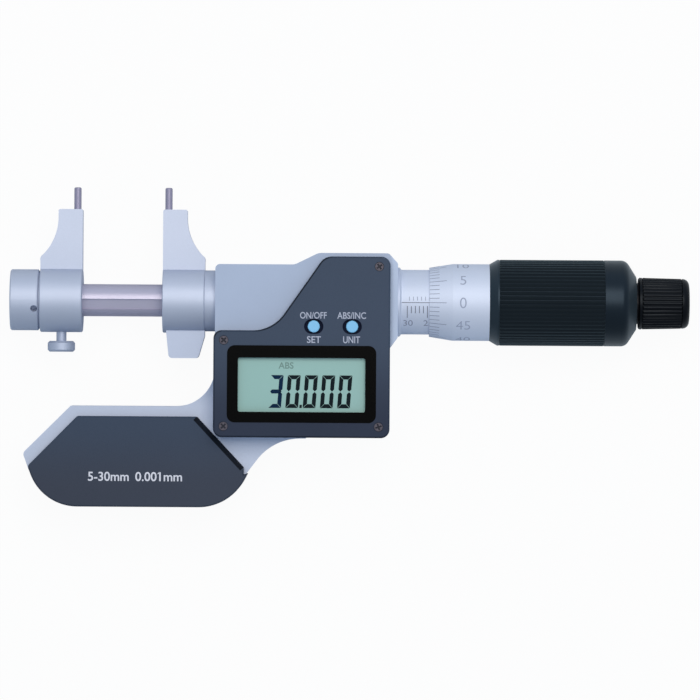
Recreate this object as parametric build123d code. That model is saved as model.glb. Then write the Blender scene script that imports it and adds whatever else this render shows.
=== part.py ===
from build123d import *
import os
from math import cos, pi, radians, sin, tan

# A digital inside micrometer with two jaws, lying on its back with its display upward.
# X runs along the spindle towards the ratchet, Y towards the tips of the jaws and Z upward.
# Everything is drawn about the spindle axis, from the left face of the gauge head, and moved at
# the end so that the origin is under the middle of the whole part, on the surface it lies on.

# Measuring range, and the inside size at which the part is shown
range_low = 5.0
range_high = 30.0
reading = 24.5
travel_out = range_high - reading
travel_in = reading - range_low

# Clearances
running_gap = 0.04
thread_gap = 0.05
slide_gap = 0.1
loose_gap = 0.3

# How much of a short side two crowded corners may use together
corner_room_share = 0.8

# Gauge head of the frame
head_length = 45.3
head_top = 12.0
head_low_top = 9.1
head_bottom = 33.3
head_front = 9.0
head_back = 11.2
head_step_start = 19.7
head_step_end = 25.6
head_waist = 2.4
head_waist_top = 8.9
head_waist_rise = 3.3
head_bevel_length = 2.3
head_bevel_height = 2.5
head_bevel_round = 1.0
head_step_round = 3.0
head_heel_round = 2.0
head_corner = 1.2
head_edge = 0.5

# Arm of the frame, below the throat
arm_top = 26.3
arm_bottom = 50.8
arm_half_thickness = 4.5
arm_left = 47.7
arm_left_height = 38.1
arm_slope_end = 35.85
throat_radius = 9.8
arm_root_height = 34.1
arm_root_x = 14.6
arm_root_radius = 13.5
arm_heel_x = 7.4
arm_heel_height = 43.6
arm_toe_run = 3.7
arm_toe_radius = 11.0
arm_left_toe_run = 5.4
arm_foot_inset = 1.4
arm_foot_drop = 3.9
arm_foot_corner = 0.5
arm_left_corner = 1.2
arm_slope_corner = 0.3
arm_root_overlap = 2.0

# Heat guards on both faces of the arm
guard_thickness = 2.4
guard_top = 28.8
guard_bottom = 51.3
guard_top_left = 34.1
guard_top_right = 4.4
guard_corner = 0.8
guard_overhang = 0.8
guard_heel_rise = 0.6
guard_notch_depth = 0.9
guard_notch_height = 1.7
guard_toe_run = 3.4
guard_toe_radius = 12.9
guard_left_toe_run = 5.0
guard_left_toe_radius = 12.4
guard_foot_inset = 1.3
guard_foot_drop = 3.2
guard_foot_corner = 1.2
guard_edge = 0.4
guard_bevel_width = 1.2
guard_bevel_depth = 1.8

# Spindle line
shaft_radius = 4.0
keyway_width = 2.7
keyway_depth = 0.8
keyway_angle = 15.0
key_radius = keyway_width / 2 - running_gap
key_x = 6.0
neck_length = 2.7
neck_radius = 7.6
bush_radius = 7.0
bush_nose_radius = 6.0
bush_nose_inset = 0.2
bush_depth = 12.0
key_cover = 0.2

# Jaws, their pins, and the cap on the end of the shaft
jaw_width = 10.5
jaw_gap_closed = 0.5
collar_radius = 8.0
collar_edge = 0.2
arm_thickness = 4.4
jaw_top = 22.65
jaw_tip_width = 6.05
jaw_curve_radius = 13.3
jaw_curve_start = 20.6
jaw_curve_heading = (1, -0.55)
jaw_turn_in = 0.7
jaw_side_rise = 1.0
jaw_corner = 0.3
lug_bottom = 14.3
lug_taper = 1.6
lug_thickness = 6.0
lug_inset = 0.1
lug_corner = 0.9
lug_shoulder_drop = 0.8
lug_shoulder_round = 0.3
pin_radius = 0.9
pin_height = 5.45
pin_round = 0.4
pin_seat_radius = 0.7
pin_seat = 5.0
cap_length = 7.1
cap_floor = 1.5
cap_radius = 7.6
cap_groove = 0.3
cap_neck_radius = 6.8
cap_neck_overlap = 0.5
cap_edge = 0.3
spanner_hole_radius = 0.85
spanner_hole_depth = 2.5
spanner_hole_inset = 1.05
spanner_hole_angle = 17.0

# Thumb screw and its pad under the moving jaw
clamp_stem_radius = 1.25
clamp_head_radius = 3.4
clamp_head_length = 2.7
clamp_head_drop = 2.2
clamp_head_edge = 0.5
clamp_pad_length = 1.2

# Sleeve, nut and measuring screw
sleeve_radius = 8.05
sleeve_wall = 1.05
sleeve_flange_radius = 8.6
sleeve_flange_length = 0.9
sleeve_seat_depth = 4.3
sleeve_past_scale = 1.3
sleeve_bore = 5.0
nut_length = 17.0
nut_radius = 6.0
adjusting_nut_length = 5.0
adjusting_nut_radius = 7.7
adjusting_nut_inset = 1.0
adjusting_nut_edge = 0.3
rod_radius = 3.2
rod_keyway_width = 1.2
rod_keyway_depth = 0.7
screw_radius = 3.4
thread_run_out = 1.0
thread_lead_in = 0.5
journal_radius = 2.5
journal_length = 6.6
journal_end_gap = 0.6
journal_groove_depth = 0.6
swivel_pin_radius = 0.5
swivel_pin_reach = 2.8
swivel_pin_inset = 4.0
rotor_length = 6.9
rotor_disc_thickness = 1.2
rotor_radius = 5.6
rotor_key_cover = 0.3
hub_radius = 4.4
stator_thickness = 1.0
encoder_gap = 0.4
chamber_radius = 6.5

# Thimble and its ribbed grip
thimble_clear_out = 2.35
thimble_front_radius = 8.6
thimble_radius = 9.55
thimble_cone = 5.75
thimble_show = 14.95
thimble_lip_length = 7.0
thimble_core_radius = 9.2
thimble_bore = 8.5
thimble_end = 47.25
thimble_wall = 3.8
taper_rise = 0.4
grip_radius = 10.7
grip_bevel = 2.0
grip_bevel_round = 0.5
grip_rib_start = 2.5
grip_rib_length = 25.5
grip_rib_count = 60
grip_rib_depth = 0.35
grip_shoulder = 33.6
grip_shoulder_radius = 2.2
grip_length = 36.6
grip_end_radius = 6.6
grip_hole_radius = 5.2

# Ribs of the grip and the knob, as shares of one rib's pitch
rib_land = 0.45
rib_flank = 0.15

# Ratchet knob and what drives it
knob_gap = 0.5
knob_length = 12.9
knob_radius = 6.45
knob_end_radius = 6.15
knob_edge = 0.3
knob_rib_start = 0.9
knob_rib_length = 10.0
knob_rib_count = 36
knob_rib_depth = 0.35
knob_dome = 0.3
knob_round = 1.6
knob_cavity_radius = 4.9
knob_cavity_depth = 9.2
ratchet_seat_radius = 5.1
seat_bore = 3.05
seat_proud = 0.3
screw_recess = 1.0
drive_ring_length = 3.9
spring_thickness = 0.45
spring_height = 1.45
spring_inner_radius = 1.75
spring_outer_radius = 4.3
bolt_radius = 1.5
bolt_head_radius = 2.8
bolt_head_length = 2.2
bolt_head_edge = 0.2
bolt_neck_overlap = 0.5
bolt_thread_length = 8.0

# Cover, display and buttons on the gauge head
cover_thickness = 3.2
cover_edge = 0.4
cover_right_inset = 1.9
cover_top_drop = 0.9
cover_low_top = 7.3
cover_corner = 2.2
cover_overhang = 0.5
cover_left_overhang = 0.3
cover_slope_start = 14.3
cover_slope_end = 27.1
cover_inner_round = 9.5
cover_outer_round = 3.6
cover_left_round = 2.0
window_left = 3.1
window_right_inset = 3.4
window_top = 11.0
window_height = 19.1
window_round = 1.9
bezel_depth = 1.0
bezel_proud = 0.08
bezel_gap = 0.02
view_left = 5.8
view_right_inset = 6.1
view_top = 14.05
view_height = 13.4
view_corner = 0.5
carrier_wall = 1.2
panel_margin = 0.7
panel_thickness = 1.5
button_row = 6.25
button_from_right = 9.4
button_pitch = 9.5
button_radius = 1.5
button_round = 0.3
button_flange_radius = 2.1
button_flange = 0.7
button_proud = 0.1
button_travel = 0.4
button_well_length = 4.8
button_well_width = 3.7
button_well_depth = 0.9
switch_radius = 1.6
switch_height = 0.2
screw_head_radius = 1.05
screw_head_height = 0.9
screw_head_sink = 0.3
screw_shank_radius = 0.8
screw_shank_length = 6.0
screw_neck_overlap = 0.2
screw_inset_x = 2.25
screw_right_inset = 2.75
screw_top_drop = 2.45
screw_low_drop = 2.45
screw_bottom_rise = 2.75
cross_width = 0.42
cross_length = 1.6
cross_depth = 0.45
cross_turns = (45.0, 45.0, 20.0, 35.0)

# Electronics and battery inside the head
pocket_left = 4.2
pocket_right_inset = 6.4
pocket_bottom = 31.0
pocket_top = 3.9
pocket_step = 10.0
pocket_floor = -3.2
shelf_reach = 5.0
board_thickness = 1.0
board_gap = 0.4
battery_from_right = 21.4
battery_y = -20.5
battery_radius = 5.8
battery_height = 5.4
battery_edge = 0.3
battery_cap_radius = 7.2
battery_cap_height = 1.7
battery_cap_recess = 0.2
coin_slot_width = 1.6
coin_slot_length = 10.0
coin_slot_depth = 0.9
seal_height = 0.9
seal_outer_radius = 6.95
seal_inner_radius = 6.15
contact_thickness = 0.3
contact_length = 7.0
contact_width = 4.0
contact_tab_width = 2.0

# Positions along the spindle axis that follow from the sizes above
fixed_inner = -(neck_length + jaw_width)
moving_inner = fixed_inner - jaw_gap_closed - (reading - range_low)
moving_outer = moving_inner - jaw_width
jaw_middle = moving_inner - jaw_width / 2
pin_inset = (range_low - jaw_gap_closed) / 2 - pin_radius
cap_right = moving_outer - cap_groove
cap_left = cap_right - cap_length
sleeve_seat = head_length - sleeve_seat_depth
rotor_right = sleeve_seat - slide_gap
rotor_left = rotor_right - rotor_length
stator_right = rotor_left - encoder_gap
shaft_right = stator_right - travel_in
thimble_front = head_length + thimble_clear_out + travel_out
sleeve_right = thimble_front + travel_in + sleeve_past_scale
nut_right = sleeve_right + nut_length - adjusting_nut_inset
thimble_back = thimble_front + thimble_end
taper_left = thimble_back - thimble_wall
grip_left = thimble_front + thimble_show
grip_right = grip_left + grip_length
knob_left = grip_right + knob_gap
knob_right = knob_left + knob_length
seat_right = grip_right + seat_proud
drive_ring_left = seat_right + slide_gap
drive_ring_right = drive_ring_left + drive_ring_length
bolt_head_left = drive_ring_right + spring_height
screw_end = seat_right - screw_recess

# Heights that follow from the sizes above
cover_top = head_front + cover_thickness
cover_right = head_length - cover_right_inset
cover_back_y = head_top - cover_top_drop
window_right = cover_right - window_right_inset
view_right = cover_right - view_right_inset
unit_button_x = cover_right - button_from_right
set_button_x = unit_button_x - button_pitch
button_places = (set_button_x, unit_button_x)
battery_x = cover_right - battery_from_right
bezel_bottom = cover_top - bezel_depth
panel_top = bezel_bottom - slide_gap
panel_bottom = panel_top - panel_thickness
button_flange_top = head_front - running_gap
button_flange_bottom = button_flange_top - button_flange
board_top = button_flange_bottom - button_travel - slide_gap - switch_height
board_bottom = board_top - board_thickness
pocket_right = head_length - pocket_right_inset
shelf_left = set_button_x - shelf_reach
battery_cap_bottom = -head_back + battery_cap_recess
battery_cap_top = battery_cap_bottom + battery_cap_height
battery_ledge = battery_cap_top + seal_height + slide_gap
battery_bottom = battery_cap_top + slide_gap
battery_top = battery_bottom + battery_height
guard_face = arm_half_thickness + guard_thickness

# The whole part's box at rest
box_left = cap_left
box_right = knob_right
box_front = -guard_bottom
box_back = jaw_top + pin_height
box_bottom = -head_back
to_origin = Pos(-(box_left + box_right) / 2, -(box_front + box_back) / 2, -box_bottom)


# Half the angle inside each corner of a closed row of points
def half_angles(points):
    halves = []
    for i, here in enumerate(points):
        to_last = points[i - 1] - here
        to_next = points[(i + 1) % len(points)] - here
        halves.append(radians(to_last.get_angle(to_next)) / 2)
    return halves


# The rounding of each corner, less where its two neighbours leave it too little room on their sides
def fitting_radii(points, wanted, halves):
    reaches = [radius / tan(half) for radius, half in zip(wanted, halves)]
    shares = [1.0] * len(points)
    for i, here in enumerate(points):
        needed = reaches[i] + reaches[i - 1]
        room = (points[i - 1] - here).length
        if needed > room:
            share = corner_room_share * room / needed
            shares[i] = min(shares[i], share)
            shares[i - 1] = min(shares[i - 1], share)
    return [radius * share for radius, share in zip(wanted, shares)]


# A closed flat outline of straight runs, each corner given as x, y and its radius
def outline(*corners):
    points = [Vector(x, y) for x, y, radius in corners]
    halves = half_angles(points)
    radii = fitting_radii(points, [radius for x, y, radius in corners], halves)
    edges, starts, ends = [], [], []
    for i, (here, half, radius) in enumerate(zip(points, halves, radii)):
        to_last = (points[i - 1] - here).normalized()
        to_next = (points[(i + 1) % len(points)] - here).normalized()
        reach = radius / tan(half)
        starts.append(here + to_last * reach)
        ends.append(here + to_next * reach)
        if radius > 0:
            crown = here + (to_last + to_next).normalized() * (radius / sin(half) - radius)
            edges.append(Edge.make_three_point_arc(starts[i], crown, ends[i]))
    for i, start in enumerate(starts):
        if (start - ends[i - 1]).length > 1e-6:
            edges.append(Edge.make_line(ends[i - 1], start))
    return Face(Wire(edges))


# A turned piece about the spindle axis, its profile's corners given as x, radius and rounding
def turned(*corners):
    return revolve(outline(*corners), Axis.X)


# A turned ring with a plain section
def ring(left, right, inner, outer, edge=0.0):
    body = bar(outer, (left, 0, 0), (right, 0, 0))
    if edge > 0:
        body = chamfer(body.edges().filter_by(GeomType.CIRCLE), edge)
    if inner > 0:
        body -= bar(inner, (left - 1, 0, 0), (right + 1, 0, 0))
    return body


# A round bar between two points
def bar(radius, start, end):
    reach = Vector(end) - Vector(start)
    round_bar = Cylinder(radius, reach.length, align=(Align.CENTER, Align.CENTER, Align.MIN))
    return Plane(origin=start, z_dir=reach) * round_bar


# A box between two opposite corners
def block(low, high):
    size = Vector(high) - Vector(low)
    return Pos(*low) * Box(size.X, size.Y, size.Z, align=(Align.MIN, Align.MIN, Align.MIN))


# A flat plate of one outline between two heights
def plate(face, bottom, top):
    return Pos(0, 0, bottom) * extrude(face, top - bottom, dir=(0, 0, 1))


# One cross-section of a ribbed band, with raised lands between straight-sided grooves
def ribbed_section(x, crest, depth, count):
    pitch = 2 * pi / count
    root = crest - depth
    corners = ((0, crest), (rib_land, crest), (rib_land + rib_flank, root), (1 - rib_flank, root))
    points = []
    for i in range(count):
        for share, radius in corners:
            angle = (i + share) * pitch
            points.append((x, radius * cos(angle), radius * sin(angle)))
    return Face(Wire.make_polygon(points, close=True))


# A ribbed band about the spindle axis, which may taper
def ribbed_band(left, right, crest_left, crest_right, depth, count):
    first = ribbed_section(left, crest_left, depth, count)
    last = ribbed_section(right, crest_right, depth, count)
    return loft([first, last], ruled=True)


def head_outline():
    waist_x = head_length - head_waist
    return outline(
        (0, -head_bottom, head_corner),
        (waist_x, -head_bottom, head_heel_round),
        (waist_x, -head_waist_top - head_waist_rise, head_bevel_round),
        (head_length, -head_waist_top, head_bevel_round),
        (head_length, head_top - head_bevel_height, head_bevel_round),
        (head_length - head_bevel_length, head_top, head_bevel_round),
        (head_step_end, head_top, head_step_round),
        (head_step_start, head_low_top, head_step_round),
        (0, head_low_top, head_corner),
    )


def arm_outline():
    root_top = -arm_top + throat_radius + arm_root_overlap
    root_right = head_length / 2
    return outline(
        (-arm_slope_end, -arm_top, arm_slope_corner),
        (0, -arm_top, throat_radius),
        (0, root_top, 0),
        (root_right, root_top, 0),
        (root_right, -arm_root_height, 0),
        (arm_root_x, -arm_root_height, arm_root_radius),
        (arm_heel_x, -arm_heel_height, 0),
        (arm_heel_x - arm_toe_run, -arm_bottom, arm_toe_radius),
        (-arm_left + arm_left_toe_run, -arm_bottom, arm_toe_radius),
        (-arm_left + arm_foot_inset, -arm_left_height - arm_foot_drop, arm_foot_corner),
        (-arm_left, -arm_left_height, arm_left_corner),
    )


def cover_screw_places():
    left = screw_inset_x
    right = cover_right - screw_right_inset
    bottom = -head_bottom - cover_overhang + screw_bottom_rise
    low_top = -cover_low_top - screw_low_drop
    return [(left, low_top), (left, bottom), (right, bottom), (right, cover_back_y - screw_top_drop)]


# The pocket for the display and its board, with a shallow shelf for the buttons above the spindle
def head_pocket():
    above = head_front + 1
    deep = block((pocket_left, -pocket_bottom, pocket_floor), (pocket_right, -pocket_step, above))
    shelf = block((shelf_left, -pocket_step - 1, board_bottom), (pocket_right, -pocket_top, above))
    return deep + shelf


def battery_bore():
    low = (battery_x, battery_y, -head_back - 1)
    ledge = (battery_x, battery_y, battery_ledge)
    cell = (battery_x, battery_y, pocket_floor + 1)
    return bar(battery_cap_radius + slide_gap, low, ledge) + bar(battery_radius + slide_gap, low, cell)


def make_frame():
    head = plate(head_outline(), -head_back, head_front)
    head = chamfer(head.faces().sort_by(Axis.Z)[0].outer_wire().edges(), head_edge)
    arm = plate(arm_outline(), -arm_half_thickness, arm_half_thickness)
    frame = head + arm
    frame -= ring(-1, bush_depth, 0, bush_radius)
    frame -= ring(bush_depth - 1, sleeve_seat + 1, 0, chamber_radius)
    frame -= ring(sleeve_seat, head_length + 1, 0, sleeve_radius - sleeve_wall)
    frame -= head_pocket()
    frame -= battery_bore()
    for x, y in cover_screw_places():
        tip = cover_top - screw_head_sink - screw_head_height - screw_shank_length
        frame -= bar(screw_shank_radius, (x, y, tip), (x, y, head_front + 1))
    return frame


# One heat guard lying on the front face of the arm
def guard_plate():
    heel_x = arm_heel_x + guard_overhang
    heel_y = -arm_heel_height + guard_heel_rise
    notch_x = heel_x - guard_notch_depth
    foot_y = -arm_left_height - guard_foot_drop
    face = outline(
        (-guard_top_left, -guard_top, guard_corner),
        (-guard_top_right, -guard_top, guard_corner),
        (notch_x, heel_y + guard_notch_height, 0),
        (notch_x, heel_y, 0),
        (heel_x, heel_y, 0),
        (arm_heel_x - guard_toe_run, -guard_bottom, guard_toe_radius),
        (-arm_left + guard_left_toe_run, -guard_bottom, guard_left_toe_radius),
        (-arm_left + guard_foot_inset, foot_y, guard_foot_corner),
    )
    guard = plate(face, arm_half_thickness, guard_face)
    guard = chamfer(guard.faces().sort_by(Axis.Z)[-1].outer_wire().edges(), guard_edge)
    return guard - guard_bevel((-guard_top_right, -guard_top), (notch_x, heel_y + guard_notch_height))


# The wedge taken off along the guard's right slope, which leaves a steep bevel
def guard_bevel(start, end):
    start, end = Vector(*start), Vector(*end)
    slope = Plane(origin=(start.X, start.Y, guard_face), z_dir=end - start, x_dir=(0, 0, 1))
    width, depth = guard_bevel_width, guard_bevel_depth
    wedge = Polyline((1, -1), (1, width), (0, width), (-depth, 0), (-depth, -1), close=True)
    return extrude(slope * make_face(wedge), (end - start).length, dir=slope.z_dir)


def make_guide_bush():
    nose_left = fixed_inner + bush_nose_inset
    bush = ring(nose_left, -neck_length, 0, bush_nose_radius)
    bush += ring(-neck_length, 0, 0, neck_radius)
    bush += ring(0, bush_depth, 0, bush_radius)
    bush -= ring(nose_left - 1, bush_depth + 1, 0, shaft_radius + running_gap)
    return bush - make_guide_key()


# Turns something drawn upward to the side on which the shaft's keyway lies
def at_keyway(shape):
    return Rot(keyway_angle, 0, 0) * shape


def make_guide_key():
    low = shaft_radius - keyway_depth + slide_gap
    return at_keyway(bar(key_radius, (key_x, 0, low), (key_x, 0, bush_radius - key_cover)))


# The height of the jaw's hollow side at a distance from its inner face
def jaw_curve_height(x):
    across = jaw_tip_width + jaw_curve_radius - x
    return jaw_curve_start - (jaw_curve_radius**2 - across**2) ** 0.5


# The side view of a jaw's arm: x is measured from its inner face and grows away from the gap
def jaw_arm_outline():
    start = (jaw_tip_width, jaw_curve_start)
    end_x = jaw_width - jaw_turn_in
    middle_x = (jaw_tip_width + end_x) / 2
    middle = (middle_x, jaw_curve_height(middle_x))
    end = (end_x, jaw_curve_height(end_x))
    side_top = (jaw_width, jaw_curve_height(jaw_width) - jaw_side_rise)
    edges = [
        Edge.make_line((0, 0), (0, jaw_top - jaw_corner)),
        Edge.make_line((0, jaw_top - jaw_corner), (jaw_corner, jaw_top)),
        Edge.make_line((jaw_corner, jaw_top), (jaw_tip_width - jaw_corner, jaw_top)),
        Edge.make_line((jaw_tip_width - jaw_corner, jaw_top), (jaw_tip_width, jaw_top - jaw_corner)),
        Edge.make_line((jaw_tip_width, jaw_top - jaw_corner), start),
        Edge.make_three_point_arc(start, middle, end),
        Edge.make_tangent_arc(end, jaw_curve_heading, side_top),
        Edge.make_line(side_top, (jaw_width, 0)),
        Edge.make_line((jaw_width, 0), (0, 0)),
    ]
    return Face(Wire(edges))


# A jaw with its inner face at x = 0 and its body on the positive side
def jaw_body(bore):
    collar = ring(0, jaw_width, 0, collar_radius, collar_edge)
    arm = plate(jaw_arm_outline(), -arm_thickness / 2, arm_thickness / 2)
    jaw = collar + arm
    jaw -= bar(bore, (-1, 0, 0), (jaw_width + 1, 0, 0))
    hole_floor = (pin_inset, jaw_top - pin_seat, 0)
    return jaw - bar(pin_seat_radius, hole_floor, (pin_inset, jaw_top + 1, 0))


def make_fixed_jaw():
    lug = outline(
        (lug_inset, 0, 0),
        (lug_taper, -lug_bottom, lug_corner),
        (jaw_width - lug_taper, -lug_bottom, lug_corner),
        (jaw_width, -collar_radius - lug_shoulder_drop, lug_shoulder_round),
        (jaw_width, 0, 0),
    )
    bore = ring(-1, jaw_width + 1, 0, bush_nose_radius)
    jaw = jaw_body(bush_nose_radius) + (plate(lug, -lug_thickness / 2, lug_thickness / 2) - bore)
    return Pos(fixed_inner, 0, 0) * jaw


def make_moving_jaw():
    jaw = Pos(moving_inner, 0, 0) * mirror(jaw_body(shaft_radius), Plane.YZ)
    hole_end = (jaw_middle, -collar_radius - 1, 0)
    return jaw - bar(clamp_stem_radius + thread_gap, (jaw_middle, 0, 0), hole_end)


# A measuring pin with its tip rounded off, and a thinner shank pressed into its jaw
def measuring_pin(x):
    pin = bar(pin_radius, (x, jaw_top, 0), (x, jaw_top + pin_height, 0))
    pin = fillet(pin.edges().filter_by(GeomType.CIRCLE).sort_by(Axis.Y)[-1], pin_round)
    return pin + bar(pin_seat_radius, (x, jaw_top - pin_seat, 0), (x, jaw_top, 0))


def make_guide_shaft():
    shaft = ring(cap_left + cap_floor, shaft_right, 0, shaft_radius)
    floor = shaft_radius - keyway_depth
    half = keyway_width / 2
    groove = block((moving_inner, -half, floor), (shaft_right + 1, half, shaft_radius + 1))
    shaft -= at_keyway(groove)
    bore_left = shaft_right - journal_length - journal_end_gap
    shaft -= ring(bore_left, shaft_right + 1, 0, journal_radius + thread_gap)
    return shaft - make_swivel_pin()


# The cross pin that lets the screw turn in the shaft and still pull it
def make_swivel_pin():
    x = shaft_right - swivel_pin_inset
    y = journal_radius - journal_groove_depth + swivel_pin_radius + thread_gap
    return bar(swivel_pin_radius, (x, y, -swivel_pin_reach), (x, y, swivel_pin_reach))


def make_end_cap():
    cap = ring(cap_left, cap_right, 0, cap_radius, cap_edge)
    cap += ring(cap_right - cap_neck_overlap, moving_outer, 0, cap_neck_radius)
    cap -= make_shaft_seat()
    x = cap_right - spanner_hole_inset
    hole = bar(spanner_hole_radius, (x, 0, cap_radius - spanner_hole_depth), (x, 0, cap_radius + 1))
    return cap - Rot(spanner_hole_angle, 0, 0) * hole


def make_shaft_seat():
    return ring(cap_left + cap_floor, moving_outer + 1, 0, shaft_radius)


def make_clamp_screw():
    pad_bottom = -shaft_radius - running_gap - clamp_pad_length
    head_top_y = -collar_radius - clamp_head_drop
    stem = bar(clamp_stem_radius, (jaw_middle, pad_bottom - running_gap, 0), (jaw_middle, head_top_y, 0))
    head_low = head_top_y - clamp_head_length
    head = bar(clamp_head_radius, (jaw_middle, head_top_y, 0), (jaw_middle, head_low, 0))
    head = chamfer(head.edges().filter_by(GeomType.CIRCLE), clamp_head_edge)
    return stem + head


def make_clamp_pad():
    top = -shaft_radius - running_gap
    return bar(clamp_stem_radius, (jaw_middle, top, 0), (jaw_middle, top - clamp_pad_length, 0))


def make_inner_sleeve():
    barrel = sleeve_radius - sleeve_wall
    sleeve = ring(sleeve_seat, sleeve_right, sleeve_bore, barrel)
    return sleeve + ring(sleeve_right, nut_right, screw_radius + thread_gap, nut_radius)


def make_scale_sleeve():
    barrel = sleeve_radius - sleeve_wall
    sleeve = ring(head_length, sleeve_right, 0, sleeve_radius)
    sleeve += turned(
        (head_length, 0, 0),
        (head_length, sleeve_flange_radius, 0),
        (head_length + sleeve_flange_length / 2, sleeve_flange_radius, 0),
        (head_length + sleeve_flange_length, sleeve_radius, 0),
        (head_length + sleeve_flange_length, 0, 0),
    )
    return sleeve - ring(head_length - 1, sleeve_right + 1, 0, barrel)


def make_adjusting_nut():
    right = nut_right - adjusting_nut_inset
    left = right - adjusting_nut_length
    return ring(left, right, nut_radius, adjusting_nut_radius, adjusting_nut_edge)


def make_lead_screw():
    journal_left = shaft_right - journal_length
    groove_middle = shaft_right - swivel_pin_inset
    groove_half = swivel_pin_radius + thread_gap
    groove_radius = journal_radius - journal_groove_depth
    thread_left = nut_right - nut_length - travel_in - thread_run_out
    screw = turned(
        (journal_left, 0, 0),
        (journal_left, journal_radius, 0),
        (groove_middle - groove_half, journal_radius, 0),
        (groove_middle - groove_half, groove_radius, 0),
        (groove_middle + groove_half, groove_radius, 0),
        (groove_middle + groove_half, journal_radius, 0),
        (shaft_right + slide_gap, journal_radius, 0),
        (shaft_right + slide_gap, rod_radius, 0),
        (thread_left, rod_radius, 0),
        (thread_left + thread_lead_in, screw_radius, 0),
        (taper_left, screw_radius, 0),
        (thimble_back, screw_radius + taper_rise, 0),
        (thimble_back, seat_bore, 0),
        (screw_end, seat_bore, 0),
        (screw_end, 0, 0),
    )
    screw -= rod_key(rod_keyway_width, rod_keyway_depth, shaft_right, thread_left)
    return screw - ring(bolt_left(), screw_end + 1, 0, bolt_radius)


# A key or keyway on top of the rod, its depth measured inward from the rod's surface
def rod_key(width, depth, left, right):
    return block((left, -width / 2, rod_radius - depth), (right, width / 2, rod_radius + 1))


def bolt_left():
    return screw_end - bolt_thread_length


def make_encoder_rotor():
    rotor = ring(rotor_left, rotor_left + rotor_disc_thickness, 0, rotor_radius)
    rotor += ring(rotor_left, rotor_right, 0, hub_radius)
    rotor -= ring(rotor_left - 1, rotor_right + 1, 0, rod_radius + running_gap)
    side = running_gap + slide_gap / 2
    key = rod_key(rod_keyway_width - 2 * side, rod_keyway_depth - slide_gap, rotor_left, rotor_right)
    return rotor + key.intersect(ring(rotor_left, rotor_right, 0, hub_radius - rotor_key_cover))


def make_encoder_stator():
    left = stator_right - stator_thickness
    return ring(left, stator_right, shaft_radius + loose_gap, chamber_radius)


def make_thimble():
    lip_bore = sleeve_radius + slide_gap
    lip_end = thimble_front + thimble_lip_length
    return turned(
        (thimble_front, lip_bore, 0),
        (thimble_front, thimble_front_radius, 0),
        (thimble_front + thimble_cone, thimble_radius, 0),
        (grip_left, thimble_radius, 0),
        (grip_left, thimble_core_radius, 0),
        (thimble_back, thimble_core_radius, 0),
        (thimble_back, screw_radius + taper_rise, 0),
        (taper_left, screw_radius, 0),
        (taper_left, thimble_bore, 0),
        (lip_end, thimble_bore, 0),
        (lip_end, lip_bore, 0),
    )


def make_thimble_grip():
    rib_left = grip_left + grip_rib_start
    rib_right = rib_left + grip_rib_length
    front = turned(
        (grip_left, 0, 0),
        (grip_left, thimble_radius, 0),
        (grip_left + grip_bevel, grip_radius, grip_bevel_round),
        (rib_left, grip_radius, 0),
        (rib_left, 0, 0),
    )
    rear = turned(
        (rib_right, 0, 0),
        (rib_right, grip_radius, 0),
        (grip_left + grip_shoulder, grip_radius, grip_shoulder_radius),
        (grip_right, grip_end_radius, 0),
        (grip_right, 0, 0),
    )
    ribs = ribbed_band(rib_left, rib_right, grip_radius, grip_radius, grip_rib_depth, grip_rib_count)
    grip = front + ribs + rear
    grip -= ring(grip_left - 1, thimble_back, 0, thimble_core_radius)
    return grip - ring(thimble_back - 1, grip_right + 1, 0, grip_hole_radius)


def make_ratchet_knob():
    rib_left = knob_left + knob_rib_start
    rib_right = rib_left + knob_rib_length
    slope = (knob_end_radius - knob_radius) / knob_length
    crest_left = knob_radius + slope * knob_rib_start
    crest_right = crest_left + slope * knob_rib_length
    front = turned(
        (knob_left, 0, 0),
        (knob_left, knob_radius - knob_edge, 0),
        (knob_left + knob_edge, knob_radius, 0),
        (rib_left, crest_left, 0),
        (rib_left, 0, 0),
    )
    rear = turned(
        (rib_right, 0, 0),
        (rib_right, crest_right, 0),
        (knob_right - knob_dome, knob_end_radius, knob_round),
        (knob_right, 0, 0),
    )
    ribs = ribbed_band(rib_left, rib_right, crest_left, crest_right, knob_rib_depth, knob_rib_count)
    return front + ribs + rear - ring(knob_left - 1, knob_left + knob_cavity_depth, 0, knob_cavity_radius)


def make_ratchet_seat():
    return ring(thimble_back, seat_right, seat_bore, ratchet_seat_radius)


def make_drive_ring():
    return ring(drive_ring_left, drive_ring_right, bolt_radius + slide_gap, knob_cavity_radius)


def make_friction_spring():
    left = drive_ring_right + running_gap
    right = bolt_head_left - running_gap
    return turned(
        (left, spring_outer_radius, 0),
        (left + spring_thickness, spring_outer_radius, 0),
        (right, spring_inner_radius, 0),
        (right - spring_thickness, spring_inner_radius, 0),
    )


def make_ratchet_bolt():
    head_right = bolt_head_left + bolt_head_length
    bolt = ring(bolt_left(), bolt_head_left + bolt_neck_overlap, 0, bolt_radius)
    return bolt + ring(bolt_head_left, head_right, 0, bolt_head_radius, bolt_head_edge)


def cover_outline():
    bottom = -head_bottom - cover_overhang
    return outline(
        (-cover_left_overhang, bottom, cover_corner),
        (cover_right, bottom, cover_corner),
        (cover_right, cover_back_y, cover_corner),
        (cover_slope_end, cover_back_y, cover_outer_round),
        (cover_slope_start, -cover_low_top, cover_inner_round),
        (-cover_left_overhang, -cover_low_top, cover_left_round),
    )


def rounded_box(low, high, corner):
    left, bottom = low
    right, top = high
    corners = ((left, bottom), (right, bottom), (right, top), (left, top))
    return outline(*[(x, y, corner) for x, y in corners])


def window_outline(margin):
    low = (window_left + margin, -window_top - window_height + margin)
    high = (window_right - margin, -window_top - margin)
    return rounded_box(low, high, window_round - margin)


def view_outline(margin):
    low = (view_left - margin, -view_top - view_height - margin)
    high = (view_right + margin, -view_top + margin)
    return rounded_box(low, high, view_corner)


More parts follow.
